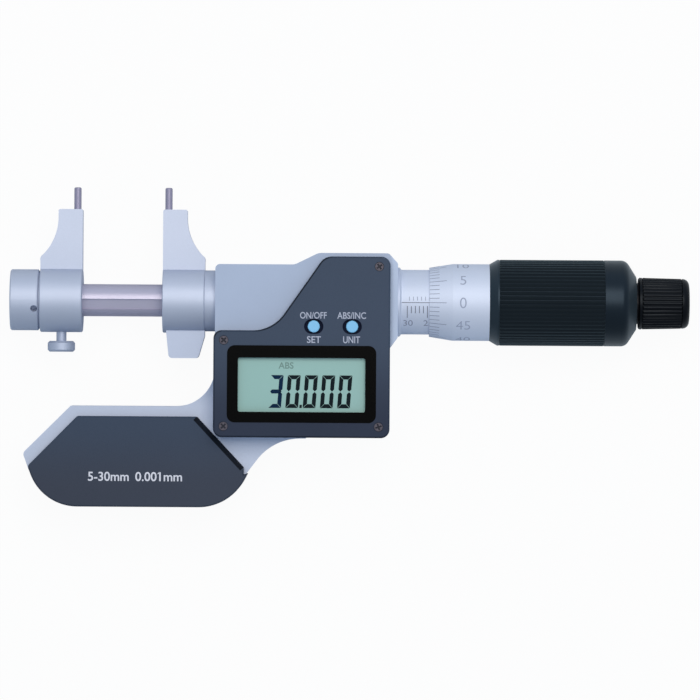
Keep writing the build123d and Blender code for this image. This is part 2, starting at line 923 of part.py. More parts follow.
# The oval well that a button stands in
def button_well(x):
    half = (button_well_length - button_well_width) / 2
    radius = button_well_width / 2
    low, above = cover_top - button_well_depth, cover_top + 1
    well = block((x - half, -button_row - radius, low), (x + half, -button_row + radius, above))
    for end in (x - half, x + half):
        well += bar(radius, (end, -button_row, low), (end, -button_row, above))
    return well


def make_front_cover():
    cover = plate(cover_outline(), head_front, cover_top)
    cover = chamfer(cover.faces().sort_by(Axis.Z)[-1].outer_wire().edges(), cover_edge)
    cover -= plate(window_outline(0), bezel_bottom, cover_top + 1)
    cover -= plate(view_outline(panel_margin + slide_gap), head_front - 1, cover_top)
    for x in button_places:
        low = (x, -button_row, head_front - 1)
        cover -= button_well(x) + bar(button_radius + slide_gap, low, (x, -button_row, cover_top))
    seat = cover_top - screw_head_sink - screw_head_height
    for x, y in cover_screw_places():
        cover -= bar(screw_head_radius + slide_gap, (x, y, seat), (x, y, cover_top + 1))
        cover -= bar(screw_shank_radius + slide_gap, (x, y, head_front - 1), (x, y, cover_top))
    return cover


# One cover screw with a cross recess in its head, turned as it was left when driven home
def cover_screw(x, y, turn):
    top = cover_top - screw_head_sink
    seat = top - screw_head_height
    screw = bar(screw_head_radius, (x, y, seat), (x, y, top))
    neck = seat + screw_neck_overlap
    screw += bar(screw_shank_radius, (x, y, seat - screw_shank_length), (x, y, neck))
    half, arm, floor = cross_width / 2, cross_length / 2, top - cross_depth
    cross = block((-arm, -half, floor), (arm, half, top + 1))
    cross += block((-half, -arm, floor), (half, arm, top + 1))
    return screw - Pos(x, y, 0) * Rot(0, 0, turn) * cross


def make_cover_screws():
    places = zip(cover_screw_places(), cross_turns)
    return Compound([cover_screw(x, y, turn).solid() for (x, y), turn in places])


def make_display_bezel():
    bezel = plate(window_outline(bezel_gap), bezel_bottom, cover_top + bezel_proud)
    return bezel - plate(view_outline(0), bezel_bottom - 1, cover_top + 1)


def make_display_panel():
    return plate(view_outline(panel_margin), panel_bottom, panel_top)


def make_display_carrier():
    carrier = plate(view_outline(panel_margin), board_top, panel_bottom)
    return carrier - plate(view_outline(-carrier_wall), board_top - 1, panel_bottom + 1)


def make_circuit_board():
    right = pocket_right - board_gap
    low = (pocket_left + board_gap, -pocket_bottom + board_gap, board_bottom)
    board = block(low, (right, -pocket_step - board_gap, board_top))
    shelf_low = (shelf_left + board_gap, -pocket_step - 1, board_bottom)
    return board + block(shelf_low, (right, -pocket_top - board_gap, board_top))


def make_switches():
    discs = []
    for x in button_places:
        low = (x, -button_row, board_top)
        discs.append(bar(switch_radius, low, (x, -button_row, board_top + switch_height)).solid())
    return Compound(discs)


def make_button(x):
    low = (x, -button_row, button_flange_bottom)
    stem = bar(button_radius, low, (x, -button_row, cover_top + button_proud))
    stem = fillet(stem.edges().filter_by(GeomType.CIRCLE).sort_by(Axis.Z)[-1], button_round)
    return stem + bar(button_flange_radius, low, (x, -button_row, button_flange_top))


def make_battery():
    low = (battery_x, battery_y, battery_bottom)
    cell = bar(battery_radius, low, (battery_x, battery_y, battery_top))
    return chamfer(cell.edges().filter_by(GeomType.CIRCLE), battery_edge)


# A flat leaf on the battery with a tab that rises to the board
def make_battery_contact():
    x = battery_x + contact_length / 2
    low = (battery_x - contact_length / 2, battery_y - contact_width / 2, battery_top)
    high = (x, battery_y + contact_width / 2, battery_top + contact_thickness)
    leaf = block(low, high)
    half = contact_tab_width / 2
    tab_low = (x - contact_thickness, battery_y - half, battery_top)
    tab = block(tab_low, (x, battery_y + half, board_bottom))
    return leaf + tab


def make_battery_cap():
    low = (battery_x, battery_y, battery_cap_bottom)
    cap = bar(battery_cap_radius, low, (battery_x, battery_y, battery_cap_top))
    cap = chamfer(cap.edges().filter_by(GeomType.CIRCLE), battery_edge)
    half, reach = coin_slot_width / 2, coin_slot_length / 2
    slot_low = (battery_x - reach, battery_y - half, battery_cap_bottom - 1)
    slot_high = (battery_x + reach, battery_y + half, battery_cap_bottom + coin_slot_depth)
    return cap - block(slot_low, slot_high)


def make_battery_seal():
    low = (battery_x, battery_y, battery_cap_top)
    high = (battery_x, battery_y, battery_cap_top + seal_height)
    return bar(seal_outer_radius, low, high) - bar(seal_inner_radius, low, high)


def make_parts():
    front_guard = guard_plate()
    pieces = {
        "frame": make_frame(),
        "guide_bush": make_guide_bush(),
        "guide_key": make_guide_key(),
        "fixed_jaw": make_fixed_jaw(),
        "fixed_pin": measuring_pin(fixed_inner + pin_inset),
        "front_heat_guard": front_guard,
        "rear_heat_guard": mirror(front_guard, Plane.XY),
        "inner_sleeve": make_inner_sleeve(),
        "scale_sleeve": make_scale_sleeve(),
        "adjusting_nut": make_adjusting_nut(),
        "encoder_stator": make_encoder_stator(),
        "encoder_rotor": make_encoder_rotor(),
        "guide_shaft": make_guide_shaft(),
        "swivel_pin": make_swivel_pin(),
        "moving_jaw": make_moving_jaw(),
        "moving_pin": measuring_pin(moving_inner - pin_inset),
        "end_cap": make_end_cap(),
        "clamp_screw": make_clamp_screw(),
        "clamp_pad": make_clamp_pad(),
        "lead_screw": make_lead_screw(),
        "thimble": make_thimble(),
        "thimble_grip": make_thimble_grip(),
        "ratchet_seat": make_ratchet_seat(),
        "ratchet_bolt": make_ratchet_bolt(),
        "ratchet_knob": make_ratchet_knob(),
        "drive_ring": make_drive_ring(),
        "friction_spring": make_friction_spring(),
        "front_cover": make_front_cover(),
        "cover_screws": make_cover_screws(),
        "display_bezel": make_display_bezel(),
        "display_panel": make_display_panel(),
        "display_carrier": make_display_carrier(),
        "circuit_board": make_circuit_board(),
        "switches": make_switches(),
        "set_button": make_button(set_button_x),
        "unit_button": make_button(unit_button_x),
        "battery": make_battery(),
        "battery_contact": make_battery_contact(),
        "battery_cap": make_battery_cap(),
        "battery_seal": make_battery_seal(),
    }
    return pieces


os.makedirs("parts", exist_ok=True)
for name, piece in make_parts().items():
    export_step(to_origin * piece, f"parts/{name}.step")
print("origin moved by", to_origin.position)
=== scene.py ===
import math

import bmesh
import bpy
from mathutils import Matrix, Vector


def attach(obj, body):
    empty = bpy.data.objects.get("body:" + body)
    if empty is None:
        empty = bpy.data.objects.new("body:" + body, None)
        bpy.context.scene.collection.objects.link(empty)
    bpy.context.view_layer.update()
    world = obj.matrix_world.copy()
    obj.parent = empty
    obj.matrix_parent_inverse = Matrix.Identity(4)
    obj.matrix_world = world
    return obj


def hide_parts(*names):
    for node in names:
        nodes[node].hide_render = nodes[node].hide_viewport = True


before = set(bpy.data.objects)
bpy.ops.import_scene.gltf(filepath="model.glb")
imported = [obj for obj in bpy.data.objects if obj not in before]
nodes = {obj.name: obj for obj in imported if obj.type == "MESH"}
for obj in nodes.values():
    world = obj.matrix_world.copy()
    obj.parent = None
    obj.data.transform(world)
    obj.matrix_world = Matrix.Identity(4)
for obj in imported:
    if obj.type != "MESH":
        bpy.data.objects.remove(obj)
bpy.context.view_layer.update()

# Sizes here are millimetres from the left face of the gauge head, on the spindle axis,
# and place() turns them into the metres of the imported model
headFace = Vector((-33.5, 11.6, 11.2))
millimetre = 0.001
sunk = 0.02  # how far marks, prints and digits reach into what carries them


def place(x, y, z):
    return (headFace + Vector((x, y, z))) * millimetre


def srgb(red, green, blue):
    linear = []
    for value in (red, green, blue):
        share = value / 255
        linear.append(share / 12.92 if share <= 0.04045 else ((share + 0.055) / 1.055) ** 2.4)
    return (*linear, 1.0)


def grey(share):
    return (share, share, share, 1.0)


# Adds a node whose inputs take a value or the socket that feeds them
def addNode(tree, kind, inputs=None, **settings):
    node = tree.nodes.new(kind)
    for name, value in settings.items():
        setattr(node, name, value)
    for name, value in (inputs or {}).items():
        if isinstance(value, bpy.types.NodeSocket):
            tree.links.new(value, node.inputs[name])
        else:
            node.inputs[name].default_value = value
    return node


def maths(tree, operation, *values):
    return addNode(tree, "ShaderNodeMath", dict(enumerate(values)), operation=operation).outputs[0]


def vectorMaths(tree, operation, *values):
    return addNode(tree, "ShaderNodeVectorMath", dict(enumerate(values)), operation=operation).outputs


# The first colour where the mask is 0, and the second mixed in or multiplied in where it is 1
def mixColours(tree, mask, first, second, blend="MIX"):
    inputs = {"Factor": mask, 6: first, 7: second}
    return addNode(tree, "ShaderNodeMix", inputs, data_type="RGBA", blend_type=blend).outputs[2]


def objectPlace(tree):
    return addNode(tree, "ShaderNodeTexCoord").outputs["Object"]


# Starts a node group, with its inputs' kinds and first values and its outputs' kinds
def openTree(name, kind, inputs, outputs):
    tree = bpy.data.node_groups.new(name, kind)
    for label, (socketKind, value) in inputs.items():
        socket = tree.interface.new_socket(label, in_out="INPUT", socket_type="NodeSocket" + socketKind)
        if value is not None:
            socket.default_value = value
    for label, socketKind in outputs.items():
        tree.interface.new_socket(label, in_out="OUTPUT", socket_type="NodeSocket" + socketKind)
    return tree, addNode(tree, "NodeGroupInput").outputs, addNode(tree, "NodeGroupOutput").inputs


noiseGain = 4.0  # noise stays within about a quarter of its middle
pebbleGain = 1.2


# A slow drift of a finish between slightly lighter and darker places
def makeToneDrift():
    tree, given, result = openTree("toneDrift", "ShaderNodeTree", {
        "Colour": ("Color", grey(0.5)), "Patches per metre": ("Float", 60.0), "Amount": ("Float", 0.05),
    }, {"Colour": "Color"})
    noise = addNode(tree, "ShaderNodeTexNoise", {
        "Vector": objectPlace(tree), "Scale": given["Patches per metre"], "Detail": 3.0, "Roughness": 0.5,
    })
    swing = maths(tree, "MULTIPLY", maths(tree, "SUBTRACT", noise.outputs["Fac"], 0.5), given["Amount"])
    gain = maths(tree, "ADD", maths(tree, "MULTIPLY", swing, noiseGain), 1.0)
    inputs = {"Vector": given["Colour"], "Scale": gain}
    scaled = addNode(tree, "ShaderNodeVectorMath", inputs, operation="SCALE")
    tree.links.new(scaled.outputs["Vector"], result["Colour"])
    return tree


# Grain of one fineness along X and another across it, as a height and as a mask
def makeToolGrain():
    tree, given, result = openTree("toolGrain", "ShaderNodeTree", {
        "Along per metre": ("Float", 8000.0), "Across per metre": ("Float", 8000.0),
    }, {"Height": "Float", "Mask": "Float"})
    across = given["Across per metre"]
    stretch = addNode(tree, "ShaderNodeCombineXYZ", {"X": given["Along per metre"], "Y": across, "Z": across})
    spread = vectorMaths(tree, "MULTIPLY", objectPlace(tree), stretch.outputs["Vector"])["Vector"]
    noise = addNode(tree, "ShaderNodeTexNoise", {
        "Vector": spread, "Scale": 1.0, "Detail": 2.0, "Roughness": 0.6,
    }).outputs["Fac"]
    bright = addNode(tree, "ShaderNodeMapRange", {"Value": noise, "From Min": 0.35, "From Max": 0.65})
    tree.links.new(noise, result["Height"])
    tree.links.new(bright.outputs["Result"], result["Mask"])
    return tree


# The pebbled skin of a moulding
def makeMouldSkin():
    tree, given, result = openTree("mouldSkin", "ShaderNodeTree", {
        "Pebbles per metre": ("Float", 3000.0),
    }, {"Height": "Float", "Mask": "Float"})
    inputs = {"Vector": objectPlace(tree), "Scale": given["Pebbles per metre"]}
    height = addNode(tree, "ShaderNodeTexVoronoi", inputs, feature="SMOOTH_F1").outputs["Distance"]
    tree.links.new(height, result["Height"])
    tree.links.new(maths(tree, "MULTIPLY", height, pebbleGain), result["Mask"])
    return tree


# Goes from the first colour to the second between two places along one axis of the object
def makeAxisFade():
    tree, given, result = openTree("axisFade", "ShaderNodeTree", {
        "First Colour": ("Color", grey(0.5)), "Second Colour": ("Color", grey(0.5)),
        "Axis": ("Vector", (0, 1, 0)), "From": ("Float", 0.0), "To": ("Float", 1.0),
    }, {"Colour": "Color"})
    along = vectorMaths(tree, "DOT_PRODUCT", objectPlace(tree), given["Axis"])["Value"]
    inputs = {"Value": along, "From Min": given["From"], "From Max": given["To"]}
    share = addNode(tree, "ShaderNodeMapRange", inputs, interpolation_type="SMOOTHSTEP").outputs["Result"]
    mixed = mixColours(tree, share, given["First Colour"], given["Second Colour"])
    tree.links.new(mixed, result["Colour"])
    return tree


# 1 where a face points within a few degrees of one direction of the object, 0 elsewhere
def makeFacingMask():
    tree, given, result = openTree("facingMask", "ShaderNodeTree", {
        "Direction": ("Vector", (0, 0, 1)), "Least": ("Float", 0.9), "Full": ("Float", 0.97),
    }, {"Mask": "Float"})
    unit = vectorMaths(tree, "NORMALIZE", given["Direction"])["Vector"]
    normal = addNode(tree, "ShaderNodeTexCoord").outputs["Normal"]
    facing = vectorMaths(tree, "DOT_PRODUCT", normal, unit)["Value"]
    share = addNode(tree, "ShaderNodeMapRange", {
        "Value": facing, "From Min": given["Least"], "From Max": given["Full"],
    })
    tree.links.new(share.outputs["Result"], result["Mask"])
    return tree


toneDrift, toolGrain, mouldSkin = makeToneDrift(), makeToolGrain(), makeMouldSkin()
axisFade, facingMask = makeAxisFade(), makeFacingMask()


def addGroup(tree, group, inputs):
    return addNode(tree, "ShaderNodeGroup", inputs, node_tree=group).outputs


axes = {"x": Vector((1, 0, 0)), "y": Vector((0, 1, 0)), "z": Vector((0, 0, 1))}
sheenRoughness = 0.5
sheenTint = (0.6, 0.85, 1.0)

# What a finish has where its own values don't say. Patches, pebbles and grain are counted per metre,
# and relief is in millimetres. A fade is an axis, two places on it and the colour past the second; most fades
# below paint light or shade.
# A painted shade is a direction, its least and full masks, and the share of the colour left there.
plainFinish = {
    "fades": (), "paintedShades": (), "drift": 0.05, "patches": 60.0, "pebbles": 0.0, "along": 9000.0,
    "across": 9000.0, "speckle": 0.05, "bump": 0.2, "relief": 0.01, "metallic": 0.0, "specular": 0.2,
    "tint": (1.0, 1.0, 1.0), "sheen": 0.0,
}


# One finish: a drifting colour, a grain for its bump and a roughness that follows the grain
def makeFinish(name, own):
    v = {**plainFinish, **own}
    material = bpy.data.materials.new(name)
    material.use_nodes = True
    tree = material.node_tree
    surface = tree.nodes["Principled BSDF"].inputs
    surface["Metallic"].default_value = v["metallic"]
    surface["Specular IOR Level"].default_value = v["specular"]
    surface["Specular Tint"].default_value = (*v["tint"], 1.0)
    if v["sheen"]:
        surface["Sheen Weight"].default_value = v["sheen"]
        surface["Sheen Roughness"].default_value = sheenRoughness
        surface["Sheen Tint"].default_value = (*sheenTint, 1.0)
    colour = srgb(*v["colour"])
    for letter, near, far, second in v["fades"]:
        axis = axes[letter]
        colour = addGroup(tree, axisFade, {
            "First Colour": colour, "Second Colour": srgb(*second), "Axis": axis,
            "From": axis @ place(near, near, near), "To": axis @ place(far, far, far),
        })["Colour"]
    colour = addGroup(tree, toneDrift, {
        "Colour": colour, "Patches per metre": v["patches"], "Amount": v["drift"],
    })["Colour"]
    if v["pebbles"]:
        grain = addGroup(tree, mouldSkin, {"Pebbles per metre": v["pebbles"]})
    else:
        grain = addGroup(tree, toolGrain, {"Along per metre": v["along"], "Across per metre": v["across"]})
    colour = mixColours(tree, grain["Mask"], colour, grey(1 - v["speckle"]), "MULTIPLY")
    # Painted shade: faces turned one way are darkened in the colour itself
    for direction, least, full, share in v["paintedShades"]:
        facing = addGroup(tree, facingMask, {"Direction": direction, "Least": least, "Full": full})
        colour = mixColours(tree, facing["Mask"], colour, grey(share), "MULTIPLY")
    low, high = v["roughness"]
    rough = addNode(tree, "ShaderNodeMapRange", {"Value": grain["Mask"], "To Min": low, "To Max": high})
    bump = addNode(tree, "ShaderNodeBump", {
        "Height": grain["Height"], "Strength": v["bump"], "Distance": v["relief"] * millimetre,
    })
    tree.links.new(colour, surface["Base Color"])
    tree.links.new(rough.outputs["Result"], surface["Roughness"])
    tree.links.new(bump.outputs["Normal"], surface["Normal"])
    return material


plated = {"drift": 0.02, "along": 14000.0, "tint": (0.4, 0.44, 0.5)}
turned = {"along": 12000.0, "across": 2000.0, "speckle": 0.08, "bump": 0.1}
moulded = {"roughness": (0.48, 0.60), "patches": 40.0, "speckle": 0.10, "bump": 0.25, "relief": 0.02,
           "specular": 0.12}
gripMoulding = {"drift": 0.06, "patches": 50.0, "along": 2500.0, "across": 7000.0, "speckle": 0.15,
                "bump": 0.05, "relief": 0.02}
displayInk = {"roughness": (0.35, 0.40), "speckle": 0.03, "bump": 0.02, "specular": 0.05}
printed = {"roughness": (0.5, 0.6), "drift": 0.04, "bump": 0.1}
ink = {**printed, "drift": 0.08, "speckle": 0.1}

finishes = {
    "silverPaint": {
        "colour": (168, 183, 208), "roughness": (0.42, 0.52), "drift": 0.03, "pebbles": 7000.0,
        # Painted light: the paint is lighter along the head's right edge and towards the lower arm
        "fades": [("x", 43.2, 44.4, (184, 200, 226)), ("y", -20.0, -27.0, (194, 205, 226))],
        "speckle": 0.06, "bump": 0.12, "metallic": 0.2, "specular": 0.3, "tint": (0.6, 0.65, 0.75)},
    "satinChrome": {
        # Painted shade: the chrome darkens from the jaws' tips towards -Y, below the spindle
        **plated, "colour": (200, 208, 226), "fades": [("y", 18.0, -12.0, (188, 198, 218))],
        "roughness": (0.52, 0.60), "bump": 0.1, "metallic": 0.5},
    "mattChrome": {
        **plated, "colour": (216, 225, 243), "roughness": (0.58, 0.66), "speckle": 0.04, "bump": 0.08,
        "metallic": 0.4},
    "groundSteel": {
        "colour": (190, 188, 208), "roughness": (0.36, 0.44), "drift": 0.03, "along": 300.0,
        "across": 16000.0, "speckle": 0.06, "bump": 0.04, "metallic": 0.4, "tint": (0.35, 0.35, 0.42)},
    "pinSteel": {
        "colour": (160, 157, 180), "roughness": (0.44, 0.48), "drift": 0.02, "along": 1200.0,
        "across": 1200.0, "speckle": 0.02, "bump": 0.0, "metallic": 0.4, "tint": (0.3, 0.3, 0.4)},
    "blackenedSteel": {
        **turned, "colour": (34, 34, 38), "roughness": (0.4, 0.5), "metallic": 0.6, "specular": 0.3},
    "coverPlastic": {
        # Painted shade: the cover darkens towards its lower edge, and its bevels facing up-left and down are
        # darkened
        **moulded, "colour": (68, 81, 101), "fades": [("y", -8.0, -32.0, (49, 58, 77))], "pebbles": 5200.0,
        "paintedShades": [((-1, 1, 1.3), 0.8, 0.95, 0.3), ((-0.1, -1, 1), 0.8, 0.95, 0.6)]},
    "guardPlastic": {
        # Painted shade: the bevel on the guard's right diagonal is darkened almost to black; the colour also
        # turns darker and greyer towards the bottom
        **moulded, "colour": (64, 77, 97), "fades": [("y", -29.0, -48.0, (64, 71, 86))], "pebbles": 4600.0,
        "paintedShades": [((0.62, 0.56, 0.55), 0.9, 0.97, 0.16)]},
    "windowBlack": {
        "colour": (9, 9, 9), "roughness": (0.16, 0.22), "drift": 0.02, "speckle": 0.02, "bump": 0.02,
        "specular": 0.03},
    "displayFace": {
        "colour": (156, 197, 192), "roughness": (0.22, 0.26), "drift": 0.03, "patches": 30.0, "speckle": 0.02,
        "bump": 0.02},
    "displayMark": {**displayInk, "colour": (14, 28, 34)},
    "displayNavy": {**displayInk, "colour": (6, 38, 68)},
    "displayFaint": {**displayInk, "colour": (114, 145, 141), "specular": 0.2},
    "buttonBlue": {
        "colour": (138, 206, 250), "roughness": (0.3, 0.36), "drift": 0.04, "speckle": 0.04,
        "pebbles": 5000.0, "bump": 0.08},
    # Painted shade: the dark navy of the button holes' depth
    "wellShadeNavy": {"colour": (14, 24, 50), "roughness": (0.4, 0.5), "bump": 0.1, "specular": 0.05},
    "gripBlack": {
        **gripMoulding, "colour": (15, 21, 26), "roughness": (0.30, 0.36), "bump": 0.08,
        # Painted sheen: the front bevel and the rear shoulder are lighter than the rest of the grip
        "fades": [("x", 70.7, 70.2, (32, 42, 49)), ("x", 101.8, 103.2, (25, 34, 41))],
        "specular": 0.31, "tint": (0.52, 0.74, 1.0), "sheen": 0.12},
    "gripRibs": {
        **gripMoulding, "colour": (19, 25, 31), "roughness": (0.5, 0.58), "specular": 0.05,
        "tint": (0.65, 0.92, 1.0), "sheen": 0.25},
    "knobBlack": {
        **gripMoulding, "colour": (6, 6, 9), "roughness": (0.32, 0.38), "speckle": 0.1, "specular": 0.17,
        "tint": (0.75, 0.87, 1.0)},
    "printWhite": {**printed, "colour": (226, 230, 242), "speckle": 0.06},
    "printGrey": {**printed, "colour": (184, 192, 212), "speckle": 0.08},
    "scaleInk": {**ink, "colour": (104, 109, 126)},
    "figureInk": {**ink, "colour": (164, 174, 198)},
    "thimbleInk": {**ink, "colour": (140, 149, 172)},
    "screwSteel": {
        # Painted shade: the screws are dark below their tops, in the cross recesses and rims, and lighter on
        # the heads' tops
        "colour": (42, 45, 57), "fades": [("z", 11.72, 11.84, (90, 87, 98))], "roughness": (0.36, 0.46),
        "drift": 0.12, "patches": 900.0, "speckle": 0.2, "bump": 0.1, "metallic": 0.3},
    "brassMetal": {
        **turned, "colour": (205, 170, 104), "roughness": (0.25, 0.35), "metallic": 1.0, "specular": 0.5},
    "sealRubber": {"colour": (30, 30, 32), "roughness": (0.7, 0.8), "speckle": 0.1},
    "boardGreen": {
        "colour": (22, 84, 52), "roughness": (0.35, 0.45), "drift": 0.08, "patches": 300.0, "speckle": 0.1,
        "bump": 0.1, "specular": 0.4},
    "carrierWhite": {
        "colour": (214, 214, 208), "roughness": (0.45, 0.55), "drift": 0.03, "speckle": 0.04, "bump": 0.1,
        "specular": 0.3},
}
made = {name: makeFinish(name, own) for name, own in finishes.items()}
print("finishes made:", len(made))

# The finish of each slot, and of the nodes that differ from their slot
slotFinish = {
    "silver_paint": "silverPaint", "satin_chrome": "satinChrome", "ground_steel": "groundSteel",
    "charcoal_plastic": "coverPlastic", "black_gloss": "windowBlack", "display_glass": "displayFace",
    "blue_plastic": "buttonBlue", "grip_black": "gripBlack", "board_green": "boardGreen",
    "white_plastic": "carrierWhite", "brass": "brassMetal", "rubber": "sealRubber",
    "screw_steel": "screwSteel",
}
nodeFinish = {
    "guide_bush": "satinChrome", "scale_sleeve": "mattChrome", "thimble": "mattChrome",
    "fixed_pin": "pinSteel", "moving_pin": "pinSteel", "drive_ring": "blackenedSteel",
    "ratchet_seat": "blackenedSteel", "friction_spring": "blackenedSteel", "ratchet_knob": "knobBlack",
    "front_heat_guard": "guardPlastic", "rear_heat_guard": "guardPlastic",
}
for name, node in nodes.items():
    for slot in node.material_slots:
        slot.material = made[nodeFinish.get(name) or slotFinish[slot.material.name.split(".")[0]]]
print("CAD nodes finished:", len(nodes))


def addObject(name, data):
    thing = bpy.data.objects.new(name, data)
    bpy.context.collection.objects.link(thing)
    return thing


# A mesh from points in millimetres
def buildMesh(name, points, faces):
    mesh = bpy.data.meshes.new(name)
    mesh.from_pydata([place(*point) for point in points], [], faces)
    return mesh


smoothAngle = math.radians(30)
weldDistance = 1e-7  # metres


# Cleans a mesh, gives it its finish and hands it to its body
def finishPiece(name, mesh, finish, body, ribFinish=None):
    shape = bmesh.new()
    shape.from_mesh(mesh)
    bmesh.ops.remove_doubles(shape, verts=shape.verts, dist=weldDistance)
    bmesh.ops.recalc_face_normals(shape, faces=shape.faces)
    shape.to_mesh(mesh)
    shape.free()
    mesh.shade_smooth()
    mesh.set_sharp_from_angle(angle=smoothAngle)
    ranks = [face.material_index for face in mesh.polygons]
    mesh.materials.clear()  # sets every rank back to 0
    mesh.materials.append(made[finish])
    if ribFinish:
        mesh.materials.append(made[ribFinish])
        mesh.polygons.foreach_set("material_index", ranks)
    piece = addObject(name, mesh)
    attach(piece, body)
    return piece


# Adds one mesh to another, with its material as the target's first or second
def addMesh(target, extra, rank=0):
    shape = bmesh.new()
    shape.from_mesh(target)
    count = len(shape.faces)
    shape.from_mesh(extra)
    shape.faces.ensure_lookup_table()
    for face in shape.faces[count:]:
        face.material_index = rank
    shape.to_mesh(target)
    shape.free()
    return target


# Joins rings of equally many points, and the last ring to the first, into one closed skin
def joinRings(rings):
    count = len(rings[0])
    faces = []
    for ring in range(len(rings)):
        here, following = ring * count, (ring + 1) % len(rings) * count
        for i in range(count):
            j = (i + 1) % count
            faces.append((here + i, here + j, following + j, following + i))
    return [point for ring in rings for point in ring], faces


# Turns a closed profile of (x, radius) about the spindle axis
def turnProfile(profile, steps):
    rings = []
    for step in range(steps):
        angle = 2 * math.pi * step / steps
        rings.append([(x, radius * math.sin(angle), radius * math.cos(angle)) for x, radius in profile])
    return joinRings(rings)


# Replaces each corner given with a radius by a short arc
def roundProfile(corners, pieces=5):
    profile = []
    for i, (x, r, radius) in enumerate(corners):
        if not radius:
            profile.append((x, r))
            continue
        here = Vector((x, r))
        back = Vector(corners[i - 1][:2]) - here
        on = Vector(corners[(i + 1) % len(corners)][:2]) - here
        half = back.angle(on) / 2
        back.normalize()
        on.normalize()
        reach = radius / math.tan(half)
        centre = here + (back + on).normalized() * radius / math.sin(half)
        first, last = here + back * reach - centre, here + on * reach - centre
        sweep = first.angle_signed(last)
        for k in range(pieces + 1):
            profile.append(tuple(centre + Matrix.Rotation(-sweep * k / pieces, 2) @ first))
    return profile


# Adds a shape's points and faces to another's
def joinFaces(base, more):
    points, faces = base
    shift = len(points)
    points += more[0]
    faces += [tuple(i + shift for i in face) for face in more[1]]


# The X, Y and Z of each point
def splitPlace(tree):
    where = addNode(tree, "GeometryNodeInputPosition").outputs["Position"]
    return addNode(tree, "ShaderNodeSeparateXYZ", {"Vector": where}).outputs


# The point at x along the spindle, at a radius from its axis and an angle from straight up
def aroundSpindle(tree, x, radius, angle):
    y = maths(tree, "MULTIPLY", radius, maths(tree, "SINE", angle))
    z = maths(tree, "MULTIPLY", radius, maths(tree, "COSINE", angle))
    return addNode(tree, "ShaderNodeCombineXYZ", {"X": x, "Y": y, "Z": z}).outputs["Vector"]


# Makes a tree's instances real and gives them their finish
def finishTree(tree, instances, given, result):
    real = addNode(tree, "GeometryNodeRealizeInstances", {"Geometry": instances})
    inputs = {"Geometry": real.outputs["Geometry"], "Material": given["Finish"]}
    tree.links.new(addNode(tree, "GeometryNodeSetMaterial", inputs).outputs["Geometry"], result["Geometry"])


endFrom = 0.6  # past this share of a bar's half length its points are at its ends
crestPower = 2.6  # how square a rib's crest is


# Straight ribs about the spindle axis, laid on a cone, each a rounded bar that fades at both ends
def makeRibTree():
    tree, given, result = openTree("ribsAroundSpindle", "GeometryNodeTree", {
        "Ribs": ("Int", 60), "Left": ("Float", 0.0), "Right": ("Float", 10.0), "Left Radius": ("Float", 10.0),
        "Right Radius": ("Float", 10.0), "Rib Height": ("Float", 0.3), "Rib Share": ("Float", 0.8),
        "End Slope": ("Float", 0.3), "Centre": ("Vector", (0, 0, 0)), "Finish": ("Material", None),
    }, {"Geometry": "Geometry"})
    left, right, height, slope = given["Left"], given["Right"], given["Rib Height"], given["End Slope"]
    bar = addNode(tree, "GeometryNodeMeshCube", {
        "Size": (2, 2, 1), "Vertices X": 4, "Vertices Y": 7, "Vertices Z": 2,
    })
    u, v, w = splitPlace(tree)
    atEnd = maths(tree, "GREATER_THAN", maths(tree, "ABSOLUTE", u), endFrom)
    middle = maths(tree, "MULTIPLY", maths(tree, "ADD", left, right), 0.5)
    half = maths(tree, "MULTIPLY", maths(tree, "SUBTRACT", right, left), 0.5)
    reach = maths(tree, "ADD", maths(tree, "SUBTRACT", half, slope), maths(tree, "MULTIPLY", atEnd, slope))
    x = maths(tree, "ADD", middle, maths(tree, "MULTIPLY", maths(tree, "SIGN", u), reach))
    share = maths(tree, "DIVIDE", maths(tree, "SUBTRACT", x, left), maths(tree, "MULTIPLY", half, 2.0))
    drop = maths(tree, "SUBTRACT", given["Right Radius"], given["Left Radius"])
    crest = maths(tree, "ADD", given["Left Radius"], maths(tree, "MULTIPLY", share, drop))
    root = maths(tree, "SUBTRACT", crest, height)
    flat = maths(tree, "POWER", maths(tree, "ABSOLUTE", v), crestPower)
    bulge = maths(tree, "MULTIPLY", maths(tree, "SUBTRACT", 1.0, flat), maths(tree, "SUBTRACT", 1.0, atEnd))
    top = maths(tree, "ADD", root, maths(tree, "MULTIPLY", bulge, height))
    below = maths(tree, "SUBTRACT", root, height)
    isTop = maths(tree, "GREATER_THAN", w, 0.0)
    radius = maths(tree, "ADD", below, maths(tree, "MULTIPLY", isTop, maths(tree, "SUBTRACT", top, below)))
    halfAngle = maths(tree, "DIVIDE", maths(tree, "MULTIPLY", given["Rib Share"], math.pi), given["Ribs"])
    bent = aroundSpindle(tree, x, radius, maths(tree, "MULTIPLY", v, halfAngle))
    shaped = addNode(tree, "GeometryNodeSetPosition", {"Geometry": bar.outputs["Mesh"], "Position": bent})

    inputs = {"Offset": (0, 0, 0), "Count": given["Ribs"]}
    spots = addNode(tree, "GeometryNodeMeshLine", inputs, mode="OFFSET")
    number = addNode(tree, "GeometryNodeInputIndex").outputs["Index"]
    turn = maths(tree, "DIVIDE", maths(tree, "MULTIPLY", number, 2 * math.pi), given["Ribs"])
    euler = addNode(tree, "ShaderNodeCombineXYZ", {"X": turn}).outputs["Vector"]
    rotation = addNode(tree, "FunctionNodeEulerToRotation", {"Euler": euler}).outputs["Rotation"]
    spread = addNode(tree, "GeometryNodeInstanceOnPoints", {
        "Points": spots.outputs["Mesh"], "Instance": shaped.outputs["Geometry"], "Rotation": rotation,
    })
    moved = addNode(tree, "GeometryNodeTranslateInstances", {
        "Instances": spread.outputs["Instances"], "Translation": given["Centre"], "Local Space": False,
    })
    finishTree(tree, moved.outputs["Instances"], given, result)
    return tree


